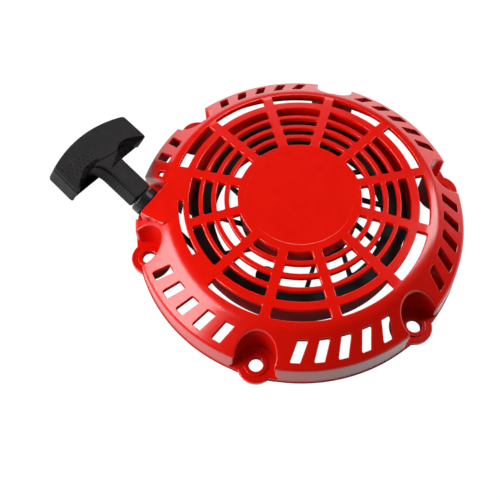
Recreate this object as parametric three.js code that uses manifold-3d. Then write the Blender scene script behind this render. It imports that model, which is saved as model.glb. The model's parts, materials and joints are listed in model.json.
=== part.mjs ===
// Recoil starter for a small vertical-shaft engine.
// Millimetres, +Z up along the starter axis, mounting plane at z = 0, cord pulled towards -Y.

import * as THREE from 'three';
import { mergeVertices } from 'three/addons/utils/BufferGeometryUtils.js';
import Module from 'manifold-3d';

const wasm = await Module();
wasm.setup();

// ---- driving dimensions -------------------------------------------------------------------

const GAP = 0.3;
const ROUND = 48;

// housing cup
const CUP_H = 38;
const CUP_R = 102.5;
const WALL = 2.4;
const LIP_TOP = { r: 100.6, z: 18.2 };
const CONE_FOOT = { r: 99.4, z: 19.6 };
const SHOULDER = { r: 82, z: 33.1 };
const RIM = { r: 79.6, z: 34.9 };
const DISC_R = 36.6;
const PLATE_T = 3;

// grille: radial stations of the five rows of slots, between twelve spokes
const SLOT_ROWS = [[36.6, 41.9], [44.5, 49.6], [52.3, 57.6], [59.9, 66], [70.8, 77.2]];
const SPOKES = 12;
const SPOKE_W = 5.6;
const THIN_SLOT = { r: [69.3, 72.2], from: -73.5, to: -43.5 };
const WHEEL_ANGLE = 23;

// ears, their pockets and the side vents between them
const EARS = 6;
const EAR_PCD_R = 95.9;
const EAR_R = 10.9;
const EAR_T = 4;
const EAR_HOLE_R = 4.25;
const POCKET_R = 11.6;
// A flat web closes the foot of the wall under one bay of vents.
const WEB = { r: [86.5, 101], span: [84, 142], thick: 2.4 };
const VENT = { r: [85.9, 96.6], width: 6, pitch: 8.1, first: -15.5, lean: 2.7, perBay: 5, besideExit: 3 };

// the rope exit interrupts these sectors of the wheel: start angles of two, centre of one bay
const EXIT_SECTORS = [-90, -60];
const EXIT_BAY = -90;

// pull line: leaves the wall upwards, and the grip hangs rolled on it
const PULL = { x: 54, y: -78.9, z: 21.8, rise: 23.3, roll: -22.3 };
const EXIT_WALL_Y = -70;
const EXIT_X = [40, 66];
const EXIT_FLOOR = 4;
const ROPE_R = 1.9;

// reel and rope
const POST_R = 8;
const POST_FOOT = 10.6;
const REEL = { boreR: 8.3, hubR: 12, webR: 36, windowR: 52.3, floorR: 54.3, rimR: 65.5 };
const GROOVE = { low: 11.7, high: 20.3, flange: 1.3 };
const REEL_SPOKE_ANGLE = 42.5;
const REEL_SPOKE_W = 2.6;
const TIE_ANGLE = 14;
const LAYER_R = [56.4, 60.5];
const LANE_Z = [13.9, 18.2];

// spring, pawls and the stack on the centre screw
const SPRING = { inner: 11.6, outer: 32.6, low: 25.4, high: 34.4, turns: 5, strip: 0.8 };
const GUARD = { inner: 66.4, outer: 68.6, low: 9.8, high: 34, gap: [-50, -18], gapTop: 19 };
const CUP_RING = { inner: 33.8, outer: 36.2, low: 24.6 };
const PAWL = { pivotR: 21, length: 18, z: [11.1, 18.2], swing: 38, postR: 2.5 };
const GUIDE = { r: 25, z: [7.3, 8.6], turn: 30 };
const WASHER = { r: 11.6, z: [8.9, 10.3] };
const SCREW = { shankR: 3, shoulderR: 5, flangeR: 10.5, hexR: 6, low: 2.4, flangeZ: [4.4, 5.6], tip: 26 };

// the bounding box is centred on the group's origin
const AXIS_Y = 12.574;

// ---- solids -------------------------------------------------------------------------------

const rad = THREE.MathUtils.degToRad;
const polar = (r, deg) => new THREE.Vector2(r * Math.cos(rad(deg)), r * Math.sin(rad(deg)));

function solid(geometry) {
  const bare = geometry.clone();
  bare.deleteAttribute('normal');
  bare.deleteAttribute('uv');
  const merged = mergeVertices(bare, 1e-4);
  const pos = merged.attributes.position;
  const index = merged.index.array;
  const tris = [];
  let volume = 0;
  const [a, b, c] = [new THREE.Vector3(), new THREE.Vector3(), new THREE.Vector3()];
  for (let i = 0; i < index.length; i += 3) {
    const [p, q, r] = index.slice(i, i + 3);
    if (p === q || q === r || r === p) {
      continue;
    }
    a.fromBufferAttribute(pos, p);
    b.fromBufferAttribute(pos, q);
    c.fromBufferAttribute(pos, r);
    volume += a.dot(b.cross(c));
    tris.push(p, q, r);
  }
  if (volume < 0) {
    for (let i = 0; i < tris.length; i += 3) {
      [tris[i + 1], tris[i + 2]] = [tris[i + 2], tris[i + 1]];
    }
  }
  return new wasm.Manifold(new wasm.Mesh({
    numProp: 3,
    vertProperties: new Float32Array(pos.array),
    triVerts: new Uint32Array(tris),
  }));
}

function lathe(profile, segments = ROUND) {
  const points = profile.map(([r, z]) => new THREE.Vector2(r, z));
  const onAxis = profile[0][0] === 0 && profile.at(-1)[0] === 0;
  if (!onAxis) {
    points.push(points[0].clone());
  }
  const geometry = new THREE.LatheGeometry(points, segments);
  geometry.rotateX(Math.PI / 2);
  return solid(geometry);
}

function cylinder(r, z0, z1, { x = 0, y = 0, sides = 32 } = {}) {
  const geometry = new THREE.CylinderGeometry(r, r, z1 - z0, sides);
  geometry.rotateX(Math.PI / 2);
  geometry.translate(x, y, (z0 + z1) / 2);
  return solid(geometry);
}

function tube(inner, outer, z0, z1, sides = 48) {
  return lathe([[inner, z0], [outer, z0], [outer, z1], [inner, z1]], sides);
}

function block([x0, x1], [y0, y1], [z0, z1]) {
  const geometry = new THREE.BoxGeometry(x1 - x0, y1 - y0, z1 - z0);
  geometry.translate((x0 + x1) / 2, (y0 + y1) / 2, (z0 + z1) / 2);
  return solid(geometry);
}

function prism(points, z0, z1) {
  const shape = points instanceof THREE.Shape ? points : new THREE.Shape(points);
  const geometry = new THREE.ExtrudeGeometry(shape, {
    depth: z1 - z0,
    bevelEnabled: false,
    curveSegments: 10,
  });
  geometry.translate(0, 0, z0);
  return solid(geometry);
}

function wire(points, radius, steps, sides = 8) {
  const corners = Array.from({ length: sides }, (_, i) => polar(radius, (360 * i) / sides));
  return solid(new THREE.ExtrudeGeometry(new THREE.Shape(corners), {
    steps,
    bevelEnabled: false,
    extrudePath: new THREE.CatmullRomCurve3(points),
  }));
}

function placed(manifold, matrix) {
  return manifold.transform(matrix.toArray());
}

function turned(manifold, degrees) {
  return placed(manifold, new THREE.Matrix4().makeRotationZ(rad(degrees)));
}

const join = (list) => list.reduce((a, b) => a.add(b));

// A frame whose +Z runs out along the pull line, +X along the grip bar and +Y up through it.
const rise = rad(PULL.rise);
const outward = new THREE.Vector3(0, -Math.cos(rise), Math.sin(rise));
const barAxis = new THREE.Vector3(1, 0, 0).applyAxisAngle(outward, rad(-PULL.roll));
const gripFrame = new THREE.Matrix4()
  .makeBasis(barAxis, new THREE.Vector3().crossVectors(outward, barAxis), outward)
  .setPosition(PULL.x, PULL.y, PULL.z);
const onPull = (s) => new THREE.Vector3(0, 0, s).applyMatrix4(gripFrame);
const alongPull = (manifold) => placed(manifold, gripFrame);

// ---- housing ------------------------------------------------------------------------------

const earCentres = Array.from({ length: EARS }, (_, i) => polar(EAR_PCD_R, (360 / EARS) * i));

function cupOutside() {
  return lathe([
    [0, 0], [CUP_R, 0], [LIP_TOP.r, LIP_TOP.z], [CONE_FOOT.r, CONE_FOOT.z],
    [SHOULDER.r, SHOULDER.z], [RIM.r, RIM.z], [DISC_R, CUP_H], [0, CUP_H],
  ]);
}

function cupInside() {
  const under = PLATE_T;
  return lathe([
    [0, -1], [CUP_R - WALL, -1], [CUP_R - WALL, 0], [LIP_TOP.r - WALL, LIP_TOP.z - 1.2],
    [CONE_FOOT.r - WALL, CONE_FOOT.z - 1.4], [SHOULDER.r - 1.6, SHOULDER.z - 2],
    [RIM.r - 1, RIM.z - under], [DISC_R, CUP_H - under], [0, CUP_H - under],
  ]);
}

// One opening of the grille: two arcs between parallel sides, with corners on the facet edges.
function slotOutline([r0, r1], from, to, sideGap) {
  const facet = 360 / ROUND;
  const inset = (r) => THREE.MathUtils.radToDeg(Math.asin(sideGap / r));
  const arc = (r) => {
    const [start, end] = [from + inset(r), to - inset(r)];
    const angles = [start];
    for (let a = facet * Math.ceil(start / facet + 0.05); a < end - 0.4; a += facet) {
      angles.push(a);
    }
    return [...angles, end].map((angle) => polar(r, angle));
  };
  return [...arc(r0), ...arc(r1).reverse()];
}

function grilleCutters() {
  const pitch = 360 / SPOKES;
  const cutters = [prism(slotOutline(THIN_SLOT.r, THIN_SLOT.from, THIN_SLOT.to, 0), 29, 45)];
  for (let k = 0; k < SPOKES; k++) {
    const from = pitch * k - 180;
    const rows = EXIT_SECTORS.includes(from) ? SLOT_ROWS.slice(0, -1) : SLOT_ROWS;
    for (const row of rows) {
      cutters.push(prism(slotOutline(row, from, from + pitch, SPOKE_W / 2), 29, 45));
    }
  }
  return cutters;
}

// A vent leans: its outer end lies a little clockwise of its inner one.
function ventOutline(angle, outer) {
  const [r0, r1] = VENT.r;
  const end = (r) => {
    const centre = angle + VENT.lean * (0.5 - (r - r0) / (r1 - r0));
    const half = THREE.MathUtils.radToDeg(Math.asin(VENT.width / 2 / r));
    return [polar(r, centre - half), polar(r, centre + half)];
  };
  return [...end(r0), ...end(outer).reverse()];
}

function ventCutters() {
  const cutters = [];
  for (let bay = -150; bay < 180; bay += 360 / EARS) {
    const vents = bay === EXIT_BAY ? VENT.besideExit : VENT.perBay;
    for (let i = 0; i < vents; i++) {
      const short = bay === EXIT_BAY && i === vents - 1;
      const outer = short ? VENT.r[0] + 4 : VENT.r[1];
      cutters.push(prism(ventOutline(bay + VENT.first + VENT.pitch * i, outer), 10, 40));
    }
  }
  return cutters;
}

// Raised roof over the rope exit, and the walled bay in front of it that the grip nests into.
function roofOver(drop) {
  return lathe([
    [0, 0], [110, 0], [110, 29.6 - drop], [RIM.r, RIM.z - drop], [0, RIM.z - drop],
  ]);
}

function ropeExit(outside) {
  const [x0, x1] = EXIT_X;
  const inner = EXIT_WALL_Y + WALL;
  const inboard = cylinder(RIM.r - 1.2, -2, RIM.z - PLATE_T - 0.4, { sides: ROUND });
  const roof = block([x0 - WALL, x1], [EXIT_WALL_Y, -48], [-1, 45])
    .intersect(roofOver(0))
    .subtract(inboard);
  const bay = block([x0 - WALL, x1 + WALL], [-112, inner], [0, 45]).intersect(outside);
  return {
    roof,
    bay,
    seat: alongPull(cylinder(8.6, -14, -5.9)),
    hollow: block([x0, x1 - WALL], [inner, -46], [-1, 45]).intersect(roofOver(WALL)),
    recess: block([x0, x1], [-112, EXIT_WALL_Y], [EXIT_FLOOR, 45]),
    bore: alongPull(cylinder(5.3, -24, -5)),
  };
}

// The cup with its grille, vents and ears, before the wheel is turned to meet the rope exit.
function wheel(outside) {
  let body = outside.subtract(cupInside());
  for (const centre of earCentres) {
    const column = cylinder(POCKET_R + WALL, 0, 40, { x: centre.x, y: centre.y, sides: 24 });
    body = body.add(column.intersect(outside));
  }
  for (const cutter of [...grilleCutters(), ...ventCutters()]) {
    body = body.subtract(cutter);
  }
  return body;
}

function cutEar(body, { x, y }) {
  return body
    .add(cylinder(EAR_R, 0, EAR_T, { x, y, sides: 24 }))
    .subtract(cylinder(POCKET_R, EAR_T, 45, { x, y, sides: 24 }))
    .add(cylinder(EAR_HOLE_R + 2.6, EAR_T - 0.5, EAR_T + 0.8, { x, y, sides: 24 }))
    .subtract(cylinder(EAR_HOLE_R, -1, EAR_T + 2, { x, y, sides: 20 }));
}

function sector([r0, r1], [from, to], z0, z1) {
  const arc = (r) => Array.from({ length: 11 }, (_, i) => polar(r, from + ((to - from) * i) / 10));
  return prism([...arc(r0), ...arc(r1).reverse()], z0, z1);
}

// The wall that keeps the rope on the reel, open where the rope leaves.
function reelGuard() {
  return tube(GUARD.inner, GUARD.outer, GUARD.low, GUARD.high, 72)
    .subtract(sector([GUARD.inner - 2, GUARD.outer + 2], GUARD.gap, 0, GUARD.gapTop));
}

function makeHousing() {
  const outside = cupOutside();
  const exit = ropeExit(turned(outside, WHEEL_ANGLE));
  let body = turned(wheel(outside), WHEEL_ANGLE)
    .add(exit.roof)
    .add(exit.bay)
    .subtract(exit.hollow)
    .subtract(exit.recess)
    .add(exit.seat)
    .subtract(exit.bore);
  body = body.add(sector(WEB.r, WEB.span, 0, WEB.thick)).add(reelGuard());
  for (const centre of earCentres) {
    body = cutEar(body, centre.clone().rotateAround(new THREE.Vector2(), rad(WHEEL_ANGLE)));
  }
  const ceiling = CUP_H - PLATE_T;
  return body
    .add(tube(CUP_RING.inner, CUP_RING.outer, CUP_RING.low, ceiling + 0.5))
    .add(cylinder(POST_R, POST_FOOT, ceiling + 0.5, { sides: 32 }))
    .subtract(cylinder(5.3, 0, 28, { sides: 24 }));
}

function makeScrewInsert() {
  return tube(3.3, 5, POST_FOOT, 27.7, 24);
}

function makeRopeGuide() {
  const bore = ROPE_R + 0.6;
  const profile = [
    [bore + 0.8, -15], [5, -15], [5, -5.6], [8.3, -5.6], [8.3, -4.3], [bore + 1.2, -4.3],
    [bore, -6], [bore, -12],
  ];
  return alongPull(lathe(profile, 32));
}

// ---- reel, rope and spring ----------------------------------------------------------------

function reelWindows() {
  const count = 12;
  const lean = 10.5;
  const cutters = [];
  for (let k = 0; k < count; k++) {
    const start = REEL_SPOKE_ANGLE + (360 / count) * k;
    const inner = REEL.webR;
    const outer = REEL.windowR;
    const side = (r) => THREE.MathUtils.radToDeg(REEL_SPOKE_W / 2 / r);
    const points = [];
    for (let i = 0; i <= 3; i++) {
      const span = 360 / count - 2 * side(inner);
      points.push(polar(inner, start + lean + side(inner) + (span * i) / 3));
    }
    for (let i = 3; i >= 0; i--) {
      const span = 360 / count - 2 * side(outer);
      points.push(polar(outer, start + side(outer) + (span * i) / 3));
    }
    cutters.push(prism(points, 0, 40));
  }
  return cutters;
}

const pawlPivots = [0, 180].map((angle) => ({ angle, at: polar(PAWL.pivotR, angle) }));

function makeReel() {
  const top = GROOVE.high + GROOVE.flange;
  const bottom = GROOVE.low - GROOVE.flange;
  const web = top - 2.8;
  let reel = lathe([
    [REEL.boreR, POST_FOOT], [REEL.hubR, POST_FOOT], [REEL.hubR, web], [REEL.windowR, web],
    [REEL.windowR, bottom], [REEL.rimR, bottom], [REEL.rimR, GROOVE.low],
    [REEL.floorR, GROOVE.low], [REEL.floorR, GROOVE.high], [REEL.rimR, GROOVE.high],
    [REEL.rimR, top], [10.6, top], [10.6, SPRING.high], [REEL.boreR, SPRING.high],
  ]);
  for (const { at } of pawlPivots) {
    reel = reel.add(cylinder(PAWL.postR, PAWL.z[0] - 0.4, web + 0.5, { x: at.x, y: at.y, sides: 20 }));
  }
  for (const cutter of reelWindows()) {
    reel = reel.subtract(cutter);
  }
  const tie = polar(REEL.floorR - 6, TIE_ANGLE);
  return reel.add(cylinder(6, web, top, { x: tie.x, y: tie.y, sides: 24 }).intersect(
    tube(40, REEL.windowR + 1, web, top)));
}

function makeRopeCoil() {
  const [r0, r1] = [REEL.floorR + 0.2, LAYER_R[1] + ROPE_R];
  const step = LAYER_R[0] + ROPE_R;
  return lathe([
    [r0, LANE_Z[0] - ROPE_R], [step, LANE_Z[0] - ROPE_R], [step, LANE_Z[1] - ROPE_R],
    [r1, LANE_Z[1] - ROPE_R], [r1, LANE_Z[1] + ROPE_R], [r0, LANE_Z[1] + ROPE_R],
  ]);
}

// Where the rope leaves the coil: the tangent point of the line from the guide's mouth.
function ropeRoute() {
  const mouth = onPull(-20);
  const reach = Math.hypot(mouth.x, mouth.y);
  const bearing = Math.atan2(mouth.y, mouth.x) + Math.acos(LAYER_R[1] / reach);
  const leave = new THREE.Vector3(
    LAYER_R[1] * Math.cos(bearing),
    LAYER_R[1] * Math.sin(bearing),
    LANE_Z[0],
  );
  return [
    leave,
    leave.clone().lerp(mouth, 0.33),
    leave.clone().lerp(mouth, 0.66),
    leave.clone().lerp(mouth, 0.94),
    onPull(-15.5),
    onPull(-8),
    onPull(4),
    onPull(18),
    onPull(29.5),
  ];
}

function makeRopeLead() {
  return wire(ropeRoute(), ROPE_R, 26);
}

function makeKnot(centre, radius) {
  const geometry = new THREE.SphereGeometry(radius, 14, 9);
  geometry.translate(centre.x, centre.y, centre.z);
  return solid(geometry);
}

function makeReelKnot() {
  const tie = polar(REEL.floorR - 7.5, TIE_ANGLE);
  return makeKnot({ x: tie.x, y: tie.y, z: 14.4 }, 3.8);
}

function makeRecoilSpring() {
  const steps = SPRING.turns * 20;
  const points = [];
  const radiusAt = (t) => THREE.MathUtils.lerp(SPRING.inner, SPRING.outer, t ** 0.75);
  const side = (offset, from, to) => {
    const dir = Math.sign(to - from);
    for (let i = from; i !== to + dir; i += dir) {
      const t = i / steps;
      points.push(polar(radiusAt(t) + offset, 360 * SPRING.turns * t));
    }
  };
  side(SPRING.strip / 2, 0, steps);
  side(-SPRING.strip / 2, steps, 0);
  return prism(points, SPRING.low, SPRING.high);
}

// ---- pawls, guide plate and centre screw ---------------------------------------------------

// A pawl lies along -Y from its pivot, pointing the way the reel turns when the rope is pulled.
function makePawl({ angle }) {
  const { length, z } = PAWL;
  const outline = new THREE.Shape();
  outline.absarc(0, 0, 5, 0, Math.PI, false);
  outline.quadraticCurveTo(-5, -7, -3.4, -length);
  outline.lineTo(2.2, -length);
  outline.quadraticCurveTo(3.6, -9, 5, 0);
  const bore = cylinder(PAWL.postR + GAP, 0, 30, { sides: 20 });
  const pin = cylinder(1.4, GUIDE.z[0] + 0.2, z[0] + 0.3, { x: 0, y: -length * 0.55, sides: 12 });
  const pawl = prism(outline, ...z).add(pin).subtract(bore);
  const shifted = placed(pawl, new THREE.Matrix4().makeTranslation(PAWL.pivotR, 0, 0));
  return turned(shifted, angle);
}

// The pawl's pin seen from the guide plate while the plate turns and the pawl swings out.
function pinTrack(share, angle) {
  const pivot = new THREE.Vector2(PAWL.pivotR, 0);
  const pin = new THREE.Vector2(0, -PAWL.length * 0.55);
  pin.rotateAround(new THREE.Vector2(), rad(PAWL.swing * share)).add(pivot);
  return pin.rotateAround(new THREE.Vector2(), rad(angle - GUIDE.turn * share));
}

function makeGuidePlate() {
  const { r, z } = GUIDE;
  let plate = tube(SCREW.shoulderR + GAP, 13, ...z, 36);
  for (const { angle } of pawlPivots) {
    const arm = block([0, r + 3], [-16, 3], z).intersect(cylinder(r + 1.5, ...z, { sides: 48 }));
    plate = plate.add(turned(arm, angle - GUIDE.turn / 2).subtract(cylinder(8, 0, 20)));
  }
  for (const { angle } of pawlPivots) {
    for (let i = -1; i <= 9; i++) {
      const pin = pinTrack(i / 8, angle);
      plate = plate.subtract(cylinder(1.9, 0, 20, { x: pin.x, y: pin.y, sides: 12 }));
    }
  }
  return plate;
}

function makeFrictionSpring() {
  const points = [];
  for (let i = 0; i <= 20; i++) {
    const p = polar(8.2, 30 + 15 * i);
    points.push(new THREE.Vector3(p.x, p.y, GUIDE.z[0] - 0.9));
  }
  return wire(points, 0.55, 30, 6);
}

function makePawlSpring({ angle }) {
  const points = [];
  const z = PAWL.z[0] - 1.1;
  for (let i = 0; i <= 12; i++) {
    const p = polar(3.6, 60 + 20 * i);
    points.push(new THREE.Vector3(PAWL.pivotR + p.x, p.y, z));
  }
  return turned(wire(points, 0.5, 16, 6), angle);
}

function makeThrustWasher() {
  return tube(SCREW.shankR + GAP, WASHER.r, ...WASHER.z, 36);
}

function makeCentreScrew() {
  const [low, high] = SCREW.flangeZ;
  return join([
    cylinder(SCREW.hexR, SCREW.low, low + 0.3, { sides: 6 }),
    cylinder(SCREW.flangeR, low, high, { sides: 36 }),
    cylinder(SCREW.shoulderR, high - 0.3, WASHER.z[0] - GAP, { sides: 24 }),
    cylinder(SCREW.shankR, high, SCREW.tip, { sides: 20 }),
  ]);
}

// ---- grip ---------------------------------------------------------------------------------

const GRIP = { halfBar: 34, tip: [28.4, 47.8], crown: 53.7, stemHalf: 7.2, stemFoot: 2.8, thick: 12.8 };

function gripOutline() {
  const { halfBar, tip, crown, stemHalf, stemFoot } = GRIP;
  const shape = new THREE.Shape();
  shape.moveTo(-stemHalf, stemFoot);
  shape.lineTo(stemHalf, stemFoot);
  shape.lineTo(stemHalf, 24.5);
  shape.bezierCurveTo(stemHalf, 31.5, 11, 34.6, 17, 34.2);
  shape.quadraticCurveTo(25, 33.4, halfBar - 3, tip[0] + 0.2);
  shape.quadraticCurveTo(halfBar, tip[0] - 1.4, halfBar + 0.2, tip[0] + 2);
  shape.lineTo(halfBar - 0.4, tip[1] - 1.5);
  shape.quadraticCurveTo(halfBar - 1, tip[1] + 0.2, halfBar - 3, tip[1] + 0.9);
  shape.quadraticCurveTo(0, 2 * crown - tip[1] - 1, 3 - halfBar, tip[1] + 0.9);
  shape.quadraticCurveTo(1 - halfBar, tip[1] + 0.2, 0.4 - halfBar, tip[1] - 1.5);
  shape.lineTo(-halfBar - 0.2, tip[0] + 2);
  shape.quadraticCurveTo(-halfBar, tip[0] - 1.4, 3 - halfBar, tip[0] + 0.2);
  shape.quadraticCurveTo(-25, 33.4, -17, 34.2);
  shape.bezierCurveTo(-11, 34.6, -stemHalf, 31.5, -stemHalf, 24.5);
  return shape;
}

// The outline lies in the frame's XZ plane; thickness runs along its Y.
function makeGrip() {
  const half = GRIP.thick / 2;
  const geometry = new THREE.ExtrudeGeometry(gripOutline(), {
    depth: GRIP.thick - 2.4,
    bevelThickness: 1.2,
    bevelSize: 1.2,
    bevelOffset: -1.2,
    bevelSegments: 1,
    curveSegments: 5,
  });
  geometry.translate(0, 0, 1.2 - half);
  geometry.rotateX(Math.PI / 2);
  const pocket = block([-5.2, 5.2], [-half - 1, 4.8], [30, 42]);
  const bore = cylinder(ROPE_R + 0.5, 0, 31, { sides: 16 });
  return alongPull(solid(geometry).subtract(pocket).subtract(bore));
}

function makeCollar() {
  const profile = [
    [ROPE_R + 0.6, -4], [8.2, -4], [9.2, -3.2], [9.2, 1.6], [8.4, 2.5], [ROPE_R + 0.6, 2.5],
  ];
  return alongPull(lathe(profile, 36));
}

function makeGripWasher() {
  return alongPull(tube(ROPE_R + GAP, 4.5, 30.3, 31.5, 20));
}

function makeGripKnot() {
  return alongPull(makeKnot({ x: 0, y: 0, z: 36.2 }, 4.2));
}

// ---- assembly -----------------------------------------------------------------------------

const finishes = {
  red: { color: 0xd01808, roughness: 0.28, metalness: 0 },
  black: { color: 0x141414, roughness: 0.45, metalness: 0 },
  grip: { color: 0x262425, roughness: 0.55, metalness: 0 },
  nylon: { color: 0x1c1d20, roughness: 0.35, metalness: 0 },
  rope: { color: 0x2a2a2c, roughness: 0.9, metalness: 0 },
  steel: { color: 0xa9abad, roughness: 0.35, metalness: 1 },
  springSteel: { color: 0x5b5f66, roughness: 0.4, metalness: 1 },
  zinc: { color: 0xc4c6c2, roughness: 0.3, metalness: 1 },
  brass: { color: 0xb08a3c, roughness: 0.35, metalness: 1 },
};

const assembly = new THREE.Group();
assembly.name = 'recoil_starter';
assembly.position.y = AXIS_Y;

function part(name, manifold, finish) {
  const { vertProperties, triVerts } = manifold.getMesh();
  const geometry = new THREE.BufferGeometry();
  geometry.setAttribute('position', new THREE.BufferAttribute(vertProperties, 3));
  geometry.setIndex(new THREE.BufferAttribute(triVerts, 1));
  geometry.computeVertexNormals();
  const mesh = new THREE.Mesh(geometry, new THREE.MeshStandardMaterial(finishes[finish]));
  mesh.name = name;
  assembly.add(mesh);
}

part('housing', makeHousing(), 'red');
part('screw_insert', makeScrewInsert(), 'brass');
part('rope_guide', makeRopeGuide(), 'nylon');
part('recoil_spring', makeRecoilSpring(), 'springSteel');
part('reel', makeReel(), 'black');
part('rope_coil', makeRopeCoil(), 'rope');
part('reel_knot', makeReelKnot(), 'rope');
part('rope_lead', makeRopeLead(), 'rope');
part('grip', makeGrip(), 'grip');
part('grip_collar', makeCollar(), 'nylon');
part('grip_washer', makeGripWasher(), 'zinc');
part('grip_knot', makeGripKnot(), 'rope');
pawlPivots.forEach((pivot, i) => {
  part(`pawl_${i + 1}`, makePawl(pivot), 'steel');
  part(`pawl_spring_${i + 1}`, makePawlSpring(pivot), 'springSteel');
});
part('thrust_washer', makeThrustWasher(), 'zinc');
part('guide_plate', makeGuidePlate(), 'zinc');
part('friction_spring', makeFrictionSpring(), 'springSteel');
part('centre_screw', makeCentreScrew(), 'zinc');

export default assembly;
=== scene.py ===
import json
import math

import bmesh
import bpy
import numpy as np
from mathutils import Matrix, Vector

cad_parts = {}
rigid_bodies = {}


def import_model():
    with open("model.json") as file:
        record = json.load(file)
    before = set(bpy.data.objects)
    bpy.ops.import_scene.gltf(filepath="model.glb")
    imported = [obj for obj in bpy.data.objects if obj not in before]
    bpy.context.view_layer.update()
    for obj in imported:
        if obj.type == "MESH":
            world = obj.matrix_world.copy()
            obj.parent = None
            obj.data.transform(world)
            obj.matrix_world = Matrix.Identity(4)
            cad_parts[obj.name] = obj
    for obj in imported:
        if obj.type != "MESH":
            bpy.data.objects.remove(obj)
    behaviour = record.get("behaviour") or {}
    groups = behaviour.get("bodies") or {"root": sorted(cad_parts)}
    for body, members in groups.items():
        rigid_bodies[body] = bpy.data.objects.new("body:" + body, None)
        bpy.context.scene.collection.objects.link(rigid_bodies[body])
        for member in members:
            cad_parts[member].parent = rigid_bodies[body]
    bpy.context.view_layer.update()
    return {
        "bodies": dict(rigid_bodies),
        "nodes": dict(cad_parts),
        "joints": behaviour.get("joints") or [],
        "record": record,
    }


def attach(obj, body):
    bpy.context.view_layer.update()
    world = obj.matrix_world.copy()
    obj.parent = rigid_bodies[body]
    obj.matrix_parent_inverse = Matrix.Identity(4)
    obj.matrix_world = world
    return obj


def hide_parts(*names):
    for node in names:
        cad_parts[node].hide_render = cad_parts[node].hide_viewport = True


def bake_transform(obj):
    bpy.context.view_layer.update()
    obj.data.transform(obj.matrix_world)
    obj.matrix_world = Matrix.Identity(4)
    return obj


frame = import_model()

# Shapes are worked out in millimetres about the starter axis, z = 0 on the mounting plane.
MM = 0.001
JOINTS = {joint["name"]: joint for joint in frame["joints"]}
AXIS_X, AXIS_Y = JOINTS["reel_spin"]["pos_m"][:2]

# ---- dimensions, as the CAD model has them ---------------------------------------------------

CUP_R = 102.5
CUP_H = 38
WALL = 2.4
PLATE_T = 3
LIP_TOP = (100.6, 18.2)
CONE_FOOT = (99.4, 19.6)
SHOULDER = (82, 33.1)
RIM = (79.6, 34.9)
DISC_R = 36.6
SEGMENTS = 288

SLOT_ROWS = ((36.6, 41.9), (44.5, 49.6), (52.3, 57.6), (59.9, 66), (70.8, 77.2))
SPOKES = 12
SPOKE_W = 5.6
THIN_SLOT = (69.3, 72.2, -73.5, -43.5)
WHEEL_ANGLE = 23
EXIT_SECTORS = (-90, -60)
EXIT_BAY = -90

EARS = 6
EAR_PCD_R = 95.9
EAR_R = 10.9
EAR_T = 4
EAR_HOLE_R = 4.25
POCKET_R = 11.6
VENT_R = (85.9, 96.6)
VENT_W = 6
VENT_PITCH = 8.1
VENT_FIRST = -15.5
VENT_LEAN = 2.7
VENTS_PER_BAY = 5
VENTS_BESIDE_EXIT = 3
SHORT_VENT = 4
WEB_R = (86.5, 101)
WEB_SPAN = (84, 142)
WEB_T = 2.4
GUARD_R = (66.4, 68.6)
GUARD_Z = (9.8, 34)
GUARD_GAP = (-50, -18)
GUARD_GAP_TOP = 19

PULL_AT = Vector((54, -78.9, 21.8))
PULL_RISE = math.radians(23.3)
PULL_ROLL = math.radians(-22.3)
EXIT_WALL_Y = -70
EXIT_X = (40, 66)
EXIT_FLOOR = 4
ROPE_R = 1.9

POST_R = 8
POST_FOOT = 10.6
SPRING_RING_R = (33.8, 36.2)
SPRING_RING_FOOT = 24.6
REEL_TOP = 21.6
REEL_LOW = 10.4
REEL_WEB = 18.8
GROOVE = (11.7, 20.3)
REEL_R = {"bore": 8.3, "hub": 12, "web": 36, "window": 52.3, "floor": 54.3, "rim": 65.5}
LAYER_R = (56.4, 60.5)
LANE_Z = (13.9, 18.2)

SPRING = {"inner": 11.6, "outer": 32.6, "low": 25.4, "high": 34.4, "turns": 5, "strip": 0.8}
PAWL_PIVOT_R = 21
PAWL_LENGTH = 18
PAWL_Z = (11.1, 18.2)
GUIDE_R = 25
GUIDE_Z = (7.3, 8.6)
GUIDE_TURN = 30
PAWL_SWING = 38
PIN_ALONG = 0.55
REEL_SPOKES = 12
REEL_SPOKE_ANGLE = 42.5
REEL_SPOKE_W = 2.6
REEL_LEAN = 10.5
TIE_ANGLE = 14
BORE_R = 5.3

# Cutters that pass right through end at this height, clear of every part.
ABOVE_ALL = 60

# ---- plan outlines and profiles --------------------------------------------------------------


def polar(r, degrees):
    return (r * math.cos(math.radians(degrees)), r * math.sin(math.radians(degrees)))


def rounded(points, radius, steps=4):
    """A closed outline with its corners turned into arcs. A point may carry its own radius."""
    out = []
    count = len(points)
    for i, point in enumerate(points):
        before = np.array(points[i - 1][:2], float)
        here = np.array(point[:2], float)
        after = np.array(points[(i + 1) % count][:2], float)
        size = point[2] if len(point) > 2 else radius
        back, ahead = before - here, after - here
        back_length, ahead_length = np.linalg.norm(back), np.linalg.norm(ahead)
        back, ahead = back / back_length, ahead / ahead_length
        half = math.acos(max(-1, min(1, float(back @ ahead)))) / 2
        if size <= 0 or half > math.radians(88.5):
            out.append(here)
            continue
        cut = min(size / math.tan(half), 0.49 * back_length, 0.49 * ahead_length)
        size = cut * math.tan(half)
        middle = (back + ahead) / np.linalg.norm(back + ahead)
        centre = here + middle * size / math.sin(half)
        first = here + back * cut - centre
        last = here + ahead * cut - centre
        turn = math.atan2(first[0] * last[1] - first[1] * last[0], float(first @ last))
        for k in range(steps + 1):
            c, s = math.cos(turn * k / steps), math.sin(turn * k / steps)
            out.append(centre + np.array((c * first[0] - s * first[1], s * first[0] + c * first[1])))
    return np.array(out)


def counterclockwise(outline):
    x, y = outline[:, 0], outline[:, 1]
    area = float(np.sum(x * np.roll(y, -1) - np.roll(x, -1) * y))
    return outline if area > 0 else outline[::-1]


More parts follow.
